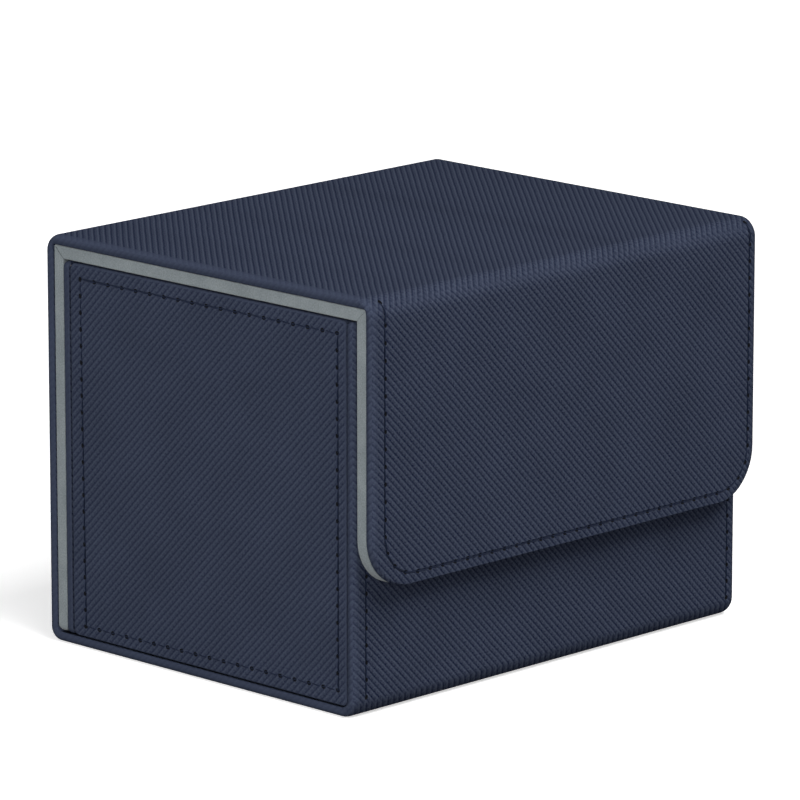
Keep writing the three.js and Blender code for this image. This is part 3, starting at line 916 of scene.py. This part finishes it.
back_centre = (0, back_face - back_top_radius, box_top - back_top_radius)
back_inner = back_top_radius - cover_thickness
back_bend = {
    "bodies": ("tray", "lid"),
    "start": (0, back_centre[1] + back_inner, back_centre[2]),
    "end": (0, back_centre[1], back_centre[2] + back_inner),
}
make_hinge(
    "back_hinge_strip", "back_hinge", back_bend, (0, back_face, wrap_end), (0, -1, 0),
    ((0, 0, flat_margin), (0, -flat_margin, 0)), back_centre, back_top_radius)

front_centre = (0, flap_face + front_top_radius, box_top - front_top_radius)
front_inner = front_top_radius - cover_thickness
front_bend = {
    "bodies": ("lid", "flap"),
    "start": (0, front_centre[1], front_centre[2] + front_inner),
    "end": (0, front_centre[1] - front_inner, front_centre[2]),
}


def bend_holes():
    """Cuts the hole on the bend where the flap's row of stitches starts, on both sides."""
    bm = bmesh.new()
    pattern = hole_pattern()
    out = Vector((0, -math.cos(bend_hole_turn), math.sin(bend_hole_turn)))
    along = Vector((1, 0, 0)).cross(out) * MM
    for side in (-1, 1):
        spot = Vector(front_centre) + out * front_top_radius
        spot.x = side * flap_stitch_place + flap_line_shift
        copy_pattern(bm, pattern, row_frame(spot - along, spot + along, out))
    pattern.free()
    return bm


make_hinge(
    "front_hinge_strip", "front_hinge", front_bend, (0, front_centre[1] + flat_margin, box_top),
    (0, 0, -1), ((0, -flat_margin, 0), (0, 0, -flat_margin)), front_centre, front_top_radius,
    marks=groove_marks(flap_stitch_place, flap_line_shift), cuts=bend_holes())

# %% First stitch of each side of the flap
# It is drawn up the flap, spun with the fold, and its ends are sunk into their holes.
bm = bmesh.new()
straight = front_centre[2] - flap_first_hole
length = straight + front_top_radius * bend_hole_turn
for side in (-1, 1):
    place = (side * flap_stitch_place + flap_line_shift, flap_face - bend_stitch_lift,
             flap_first_hole)
    made = bmesh.ops.create_circle(bm, cap_ends=True, segments=thread_sides,
                                   radius=stitch_radius, matrix=Matrix.Translation(place))
    end = made["verts"][0].link_faces[0]
    for _ in range(straight_steps):
        end = pull(bm, end, (0, 0, straight / straight_steps))
    bend_round(bm, end, front_centre, -bend_hole_turn)
for vert in bm.verts:
    arm = Vector((0, vert.co.y - front_centre[1], max(0, vert.co.z - front_centre[2])))
    way = min(vert.co.z - flap_first_hole, straight)
    way += front_top_radius * math.atan2(arm.z, -arm.y)
    vert.co -= arm.normalized() * stitch_rise * (2 * way / length - 1) ** 2
finish_piece(bm, "bend_stitches", "navy_thread", bend=front_bend)

# %% [markdown]
# ## Lid
# The lid is the simplest length of the cover: a flat board in leatherette, open underneath
# where the grey lining is glued on.

# %% Lid
bm = bmesh.new()
start = lid_high.y - flat_margin
section = sheet_section(bm, (0, start, box_top), (0, 0, -1))
pull(bm, section, (0, lid_low.y + flat_margin - start, 0))
pocket(bm, lip, pocket_depth, lambda f: f.normal.z < -facing)
finish_piece(bm, "lid_cover", "leatherette", ["lid_skin"], body="lid", tight=turned_at_side)

# %% [markdown]
# ## Flap
# The flap hangs from the lid and has two large round corners. It is cut from a plate: an
# upright outline whose lower corners are rounded as points, drawn out to a thickness. Insets
# that follow a quarter of an ellipse then round its borders, and three more press in the
# stitch groove. The plate is made too tall and cut off at the hinge, so that the groove
# runs on to the bend without closing across the top.

# %% Plate helpers


def plate_outline(bm, half, low, high, corner, corner_steps, rounded):
    """An upright rectangle in X and Z with some of its corners rounded, as one face."""
    places = ((-half, 0, low), (half, 0, low), (half, 0, high), (-half, 0, high))
    verts = [bm.verts.new(place) for place in places]
    bm.faces.new(verts)
    round_off(bm, [verts[i] for i in rounded], corner, corner_steps, "VERTICES")
    return bm.faces[:][0]


def dome(bm, face, reach, rise, upright=1.0, steps=5):
    """Rounds over a face's border with insets that follow a quarter of an ellipse.

    Its lower and upper borders are tighter by a share, for the rings that leave the flat.
    """
    heights = [vert.co.z for vert in face.verts]
    angles = [math.pi / 2 * step / steps for step in range(steps + 1)]
    rings = []
    for low, high in zip(angles, angles[1:]):
        inset(bm, face, reach * (math.cos(low) - math.cos(high)),
              rise * (math.sin(high) - math.sin(low)))
        rings.append(list(face.verts))
    for ring in rings[:-1]:
        for vert, height in zip(ring, heights):
            vert.co.z = height + (vert.co.z - height) * upright


def soft_plate(bm, outline, thickness, outer_size, inner_size, upright=1.0):
    """Draws an outline into a plate from Y = 0 back, and rounds over both its faces."""
    reach, rise = outer_size
    inner_reach, inner_rise = inner_size
    bmesh.ops.translate(bm, verts=bm.verts, vec=(0, rise, 0))
    back = pull(bm, outline, (0, thickness - rise - inner_rise, 0))
    bmesh.ops.recalc_face_normals(bm, faces=bm.faces)
    dome(bm, outline, reach, rise, upright)
    dome(bm, back, inner_reach, inner_rise)


def cut_off(bm, point, normal):
    """Cuts a mesh along a plane, takes away the part beyond it and closes the cut."""
    made = mark_line(bm, point, normal, clear=True)
    rim = [g for g in made["geom_cut"] if isinstance(g, bmesh.types.BMEdge)]
    bmesh.ops.contextual_create(bm, geom=rim)


# %% Flap
flap_top = box_top - front_top_radius - flat_margin
flap_line_inset = 2.2 * MM
flap_foot_share = 0.3            # the lower edge is turned this much tighter than the sides
flap_stitches = 57
corner_steps = 12
spare_height = 12 * MM
side_squeeze = flap_stitch_place / (half_width - flap_line_inset)


def flap_line():
    """The path of the flap's stitches: down one side, round both corners and up the other."""
    radius = flap_corner - flap_line_inset
    across = half_width - flap_corner
    low = flap_edge + flap_corner
    quarter = [math.pi / 2 * step / corner_steps for step in range(corner_steps + 1)]
    left = [Vector((-across - radius * math.cos(a), 0, low - radius * math.sin(a)))
            for a in quarter]
    right = [Vector((-p.x, 0, p.z)) for p in reversed(left)]
    ends = [Vector((side * (across + radius), 0, flap_first_hole)) for side in (-1, 1)]
    path = [ends[0], *left, *right, ends[1]]
    return [Vector((p.x * side_squeeze + flap_line_shift, flap_face, p.z)) for p in path]


flap_rows = [even_places(flap_line(), flap_stitches)]

bm = bmesh.new()
outline = plate_outline(bm, half_width, flap_edge, flap_top + spare_height, flap_corner,
                        corner_steps, (0, 1))
soft_plate(bm, outline, cover_thickness, (outer_reach, outer_round), glued_edge,
           flap_foot_share)
widths = (flap_line_inset - outer_reach - groove_half_width, groove_half_width,
          groove_half_width)
rings = []
for width in widths:
    inset(bm, outline, width)
    rings.append(list(outline.verts))
bmesh.ops.translate(bm, verts=rings[1], vec=(0, groove_depth, 0))
for ring in rings:
    bmesh.ops.scale(bm, verts=ring, vec=(side_squeeze, 1, 1))
    bmesh.ops.translate(bm, verts=ring, vec=(flap_line_shift, 0, 0))
bmesh.ops.translate(bm, verts=bm.verts, vec=(0, flap_face, 0))
cut_off(bm, (0, 0, flap_top), (0, 0, 1))
pocket(bm, lip, pocket_depth, lambda f: f.normal.y > facing)
finish_piece(bm, "flap_cover", "leatherette", ["flap_skin"], body="flap",
             tight=turned_at_side, cuts=hole_cutters(flap_rows, forwards))
sew("flap_stitches", ["flap_stitching"], "flap", flap_rows, forwards, front_slant)

# %% [markdown]
# ## Grey lining of the back, lid and flap
# A second set of panels, boards in microfibre, is glued inside the cover. Their edges are
# the thin grey frame that shows round the closed box. Each panel is cut off at half a right
# angle so that the three close to a neat mitre, and open like a book.

# %% Lining strips
lining_half = half_width - 0.5 * MM
lining_round = 0.25 * MM
lining_edge = (lining_round, lining_round)
mitre_back = (0, lining_back - lining_thickness, lining_under)
mitre_front = (0, lining_flap + lining_thickness, lining_under)
back_mitre_gap = 0.3 * MM
front_mitre_gap = 0.08 * MM
tip_blunting = 0.15 * MM
fabric_skin = 0.4 * MM
lining_lip = 0.05 * MM           # rim round a board's pocket
hung_rise = 0.05 * MM            # the flap's lining ends this much above its leatherette
low_edge_reach = 37 * MM         # the lid's two lower edges lie beyond this, and are rounded
low_edge_band = 0.05 * MM
low_edge_round = 0.9 * MM
low_edge_steps = 4
lining_pocket = lining_thickness - fabric_skin - 0.1 * MM
lining_board_low, lining_board_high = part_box("lid_lining_board")
board_slack = 0.05 * MM
hung_board_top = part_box("flap_lining_board")[1].z + board_slack


def lining_section(bm, outer, inward):
    """The outline of the cover's lining, as one face at the start of its path."""
    return sheet_section(bm, outer, inward, half=lining_half, thickness=lining_thickness,
                         outer_size=lining_edge, inner_size=lining_edge)


def blunt(bm, side):
    """Takes off the sharp outer tip of a mitre, where the fold of cloth lies."""
    corner_y = lining_back if side > 0 else lining_flap
    cut_off(bm, (0, corner_y - side * tip_blunting, lining_top - tip_blunting), (0, side, 1))


# %% Lining of the back
bm = bmesh.new()
foot = lining_foot + lining_thickness / 2
start = lining_section(bm, (0, lining_back, foot), (0, -1, 0))
pull(bm, start, (0, 0, box_top - foot))
roll_end(bm, start, -1, lining_half, lining_thickness)
bmesh.ops.recalc_face_normals(bm, faces=bm.faces)
cut_off(bm, mitre_back, (0, -1, 1))
blunt(bm, 1)
mark_line(bm, (0, 0, hung_board_top), (0, 0, 1))
pocket(bm, lining_lip, lining_pocket, lambda f: f.normal.y > facing)
finish_piece(bm, "back_cover_cloth", "grey_microfibre", ["back_cover_lining"], body="tray")

# %% Lining of the lid
bm = bmesh.new()
start = lining_section(bm, (0, back_face, lining_top), (0, 0, -1))
pull(bm, start, (0, flap_face - back_face, 0))
bmesh.ops.recalc_face_normals(bm, faces=bm.faces)
cut_off(bm, (0, mitre_back[1] - back_mitre_gap, mitre_back[2]), (0, 1, -1))
cut_off(bm, (0, mitre_front[1] + front_mitre_gap, mitre_front[2]), (0, -1, -1))
blunt(bm, 1)
blunt(bm, -1)
for place in (lining_board_low.y - board_slack, lining_board_high.y + board_slack):
    mark_line(bm, (0, place, 0), (0, 1, 0))
pocket(bm, lining_lip, lining_pocket, lambda f: f.normal.z > facing)

# The two lower edges, across the box, are soft, so that they don't catch on the cards.
edges = []
for edge in bm.edges:
    here, there = (vert.co for vert in edge.verts)
    middle = (here + there) / 2
    low = middle.z < lining_under + low_edge_band and abs(middle.y) > low_edge_reach
    if low and abs(here.y - there.y) < tolerance:
        edges.append(edge)
round_off(bm, edges, low_edge_round, low_edge_steps, "EDGES")
finish_piece(bm, "lid_cloth", "grey_microfibre", ["lid_lining"], body="lid")

# %% Lining of the flap
bm = bmesh.new()
outline = plate_outline(bm, lining_half, flap_edge + hung_rise, box_top + spare_height,
                        flap_corner - (half_width - lining_half), corner_steps, (0, 1))
soft_plate(bm, outline, lining_thickness, lining_edge, lining_edge)
bmesh.ops.translate(bm, verts=bm.verts, vec=(0, lining_flap, 0))
cut_off(bm, mitre_front, (0, 1, 1))
blunt(bm, -1)
mark_line(bm, (0, 0, hung_board_top), (0, 0, 1))
pocket(bm, lining_lip, lining_pocket, lambda f: f.normal.y < -facing)
finish_piece(bm, "flap_cloth", "grey_microfibre", ["flap_lining"], body="flap")

# %% [markdown]
# ## The fold of cloth behind each hinge
# When the lid opens, the mitres part and the microfibre that runs over the fold is seen. It
# is a narrow strip from tip to tip, in many short steps, baked in place and tied to no body.

# %% Fold cloths
fold_steps = 12
fold_half_length = 0.36 * MM
fold_thickness = 0.18 * MM
fold_share = 0.6                 # of its length that turns, and of its thickness outside
fold_round = 0.05 * MM


def make_fold(name, bodies, side):
    """The straight strip of cloth over one hinge's mitre, which lies between its two bodies."""
    bm = bmesh.new()
    corner_y = lining_back if side > 0 else lining_flap
    middle = Vector((0, corner_y - side * tip_blunting, lining_top - tip_blunting))
    along = Vector((0, -side, 1)).normalized()
    out = Vector((0, side, 1)).normalized()
    start = middle - along * fold_half_length + out * fold_thickness * fold_share
    edge = (fold_round, fold_round)
    end = sheet_section(bm, start, -out, half=lining_half - lining_round,
                        thickness=fold_thickness, inner_size=edge, outer_size=edge)
    for _ in range(fold_steps):
        end = pull(bm, end, along * 2 * fold_half_length / fold_steps)
    reach = along * fold_half_length * fold_share
    points = [middle - reach, middle + reach]
    if bodies[0] == "lid":
        points.reverse()
    bend = {"bodies": bodies, "start": tuple(points[0]), "end": tuple(points[1])}
    finish_piece(bm, name, "grey_microfibre", bend=bend)


make_fold("back_fold_cloth", ("tray", "lid"), 1)
make_fold("front_fold_cloth", ("lid", "flap"), -1)

# %% [markdown]
# ## Back wall and side panels
# The tray has its own back wall and two side panels, which stand in the folded cover. They
# are plates of board in leatherette, open on the inside. A ring of stitches runs round each
# side panel. Its groove is made with straight cuts across the face, because the panel's
# corners are rounder than the ring's.

# %% Panel helpers
panel_corner_steps = 4
wall_edge = (0.7 * MM, 0.7 * MM)
inner_edge = (0.3 * MM, 0.3 * MM)
panel_rim = 0.2 * MM             # rim round a board's pocket
turned_lip_width = 1.1 * MM
turned_lip_thickness = 0.06 * MM


def panel(width, height, thickness, corner, outer_size, inner_size):
    """A plate with four rounded corners, its foot at Z = 0 and its face towards -Y."""
    bm = bmesh.new()
    outline = plate_outline(bm, width / 2, 0, height, corner, panel_corner_steps,
                            (0, 1, 2, 3))
    soft_plate(bm, outline, thickness, outer_size, inner_size)
    return bm


def turn_and_place(bm, angle, place, axis="Z"):
    """Turns a plate about an axis and sets it in its place."""
    matrix = Matrix.Translation(place) @ Matrix.Rotation(math.radians(angle), 4, axis)
    bmesh.ops.transform(bm, matrix=matrix, verts=bm.verts)


# %% Back wall
# Its sheet is turned in over its board: a thin lip with a pocket behind it.
thickness = back_wall_high.y - back_wall_low.y + turned_lip_thickness
height = back_wall_high.z - back_wall_low.z
bm = panel(2 * back_wall_high.x, height, thickness, panel_corner, wall_edge, inner_edge)
turn_and_place(bm, 180, (0, back_wall_high.y, back_wall_low.z))
pocket(bm, turned_lip_width, turned_lip_thickness, lambda f: f.normal.y < -facing)
floor_of_lip = max((f for f in bm.faces if f.normal.y < -facing), key=lambda f: f.calc_area())
middle = Vector((0, 0, back_wall_low.z + height / 2))
wider = [1 + (turned_lip_width - panel_rim) / (half - turned_lip_width)
         for half in (back_wall_high.x, height / 2)]
end = pull(bm, floor_of_lip, (0, 0, 0))
bmesh.ops.scale(bm, verts=end.verts, vec=(wider[0], 1, wider[1]),
                space=Matrix.Translation(-middle))
pull(bm, end, (0, thickness - turned_lip_thickness - leather_skin, 0))
finish_piece(bm, "back_wall_cover", "leatherette", ["back_wall_skin"], body="tray",
             tight=lambda c, n: turned_pull if abs(n.x) > 0.3 else 0.0)


# %% Side panels
side_edge = (0.45 * MM, 0.45 * MM)
side_ring_insets = (             # how far in each corner of the ring lies, in Y and in Z
    (2.1 * MM, 2.8 * MM), (3.4 * MM, 2.1 * MM), (2.85 * MM, 2.8 * MM), (2.1 * MM, 2.5 * MM))
side_stitches_level = 18
side_stitches_upright = 21


def side_corners(face_x):
    """The ring's corners: front low, rear low, rear high, front high. It is sewn a bit askew."""
    edges = (side_low, Vector((0, side_high.y, side_low.z)), side_high,
             Vector((0, side_low.y, side_high.z)))
    inward = ((1, 1), (-1, 1), (-1, -1), (1, -1))
    return [Vector((face_x, edge.y + way[0] * step[0], edge.z + way[1] * step[1]))
            for edge, way, step in zip(edges, inward, side_ring_insets)]


def side_rows(corners):
    """The four rows of holes of one side panel."""
    counts = (side_stitches_level, side_stitches_upright) * 2
    return [even_places([corners[i], corners[(i + 1) % 4]], counts[i]) for i in range(4)]


def make_side_panel(label, side):
    """One side panel with its ring of stitches, whose groove is cut line by line."""
    thickness = side_high.x - side_low.x
    width = side_high.y - side_low.y
    face_x = side * side_high.x
    bm = panel(width, side_high.z - side_low.z, thickness, panel_corner, side_edge, inner_edge)
    turn_and_place(bm, 90 * side, (face_x, (side_high.y + side_low.y) / 2, side_low.z))
    pocket(bm, panel_rim, thickness - leather_skin, lambda f: f.normal.x * side < -facing)
    corners = side_corners(face_x)
    for here, there in zip(corners, corners[1:] + corners[:1]):
        along = (there - here).normalized()
        across = along.cross((1, 0, 0))
        for offset in (-groove_half_width, 0, groove_half_width):
            faces = [f for f in bm.faces if f.normal.x * side > 0.99]
            edges = {e for f in faces for e in f.edges}
            verts = {v for f in faces for v in f.verts}
            mark_line(bm, here + across * offset, across, [*faces, *edges, *verts])
        for vert in bm.verts:
            arm = vert.co - here
            within = -tolerance < arm.dot(along) < (there - here).length + tolerance
            if within and abs(arm.dot(across)) < tolerance and abs(arm.x) < tolerance:
                vert.co.x -= side * groove_depth
    out = Vector((side, 0, 0))
    rows = side_rows(corners)
    finish_piece(bm, f"{label}_side_cover", "leatherette", [f"{label}_side_skin"], body="tray",
                 tight=lambda c, n: turned_pull if abs(n.x) < facing else 0.0,
                 cuts=hole_cutters(rows, out))
    sew(f"{label}_side_stitches", [f"{label}_side_stitching"], "tray", rows, out, side_slant)


make_side_panel("left", -1)
make_side_panel("right", 1)

# %% [markdown]
# ## Microfibre inside the tray
# Five thin panels line the bay that holds the cards. Each is a plate with soft edges that
# faces inwards, so one loop over their nodes can make them all.

# %% Inner linings
inner_turns = {
    "left_lining": (90, "Z"),
    "right_lining": (-90, "Z"),
    "front_lining": (180, "Z"),
    "back_lining": (0, "Z"),
    "floor_lining": (-90, "X"),
}
cloth_edge = (0.4 * MM, 0.4 * MM)
cloth_corner = 0.6 * MM
for name, (angle, axis) in inner_turns.items():
    low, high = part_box(name)
    size = high - low
    middle = (low + high) / 2
    if name == "floor_lining":
        shape = (size.x, size.y, size.z)
        place = (middle.x, low.y, high.z)
    elif name in ("left_lining", "right_lining"):
        shape = (size.y, size.z, size.x)
        place = (high.x if name == "left_lining" else low.x, middle.y, low.z)
    else:
        shape = (size.x, size.z, size.y)
        place = (middle.x, high.y if name == "front_lining" else low.y, low.z)
    bm = panel(*shape, cloth_corner, cloth_edge, cloth_edge)
    turn_and_place(bm, angle, place, axis)
    finish_piece(bm, name.replace("_lining", "_cloth"), "grey_microfibre", [name], body="tray")
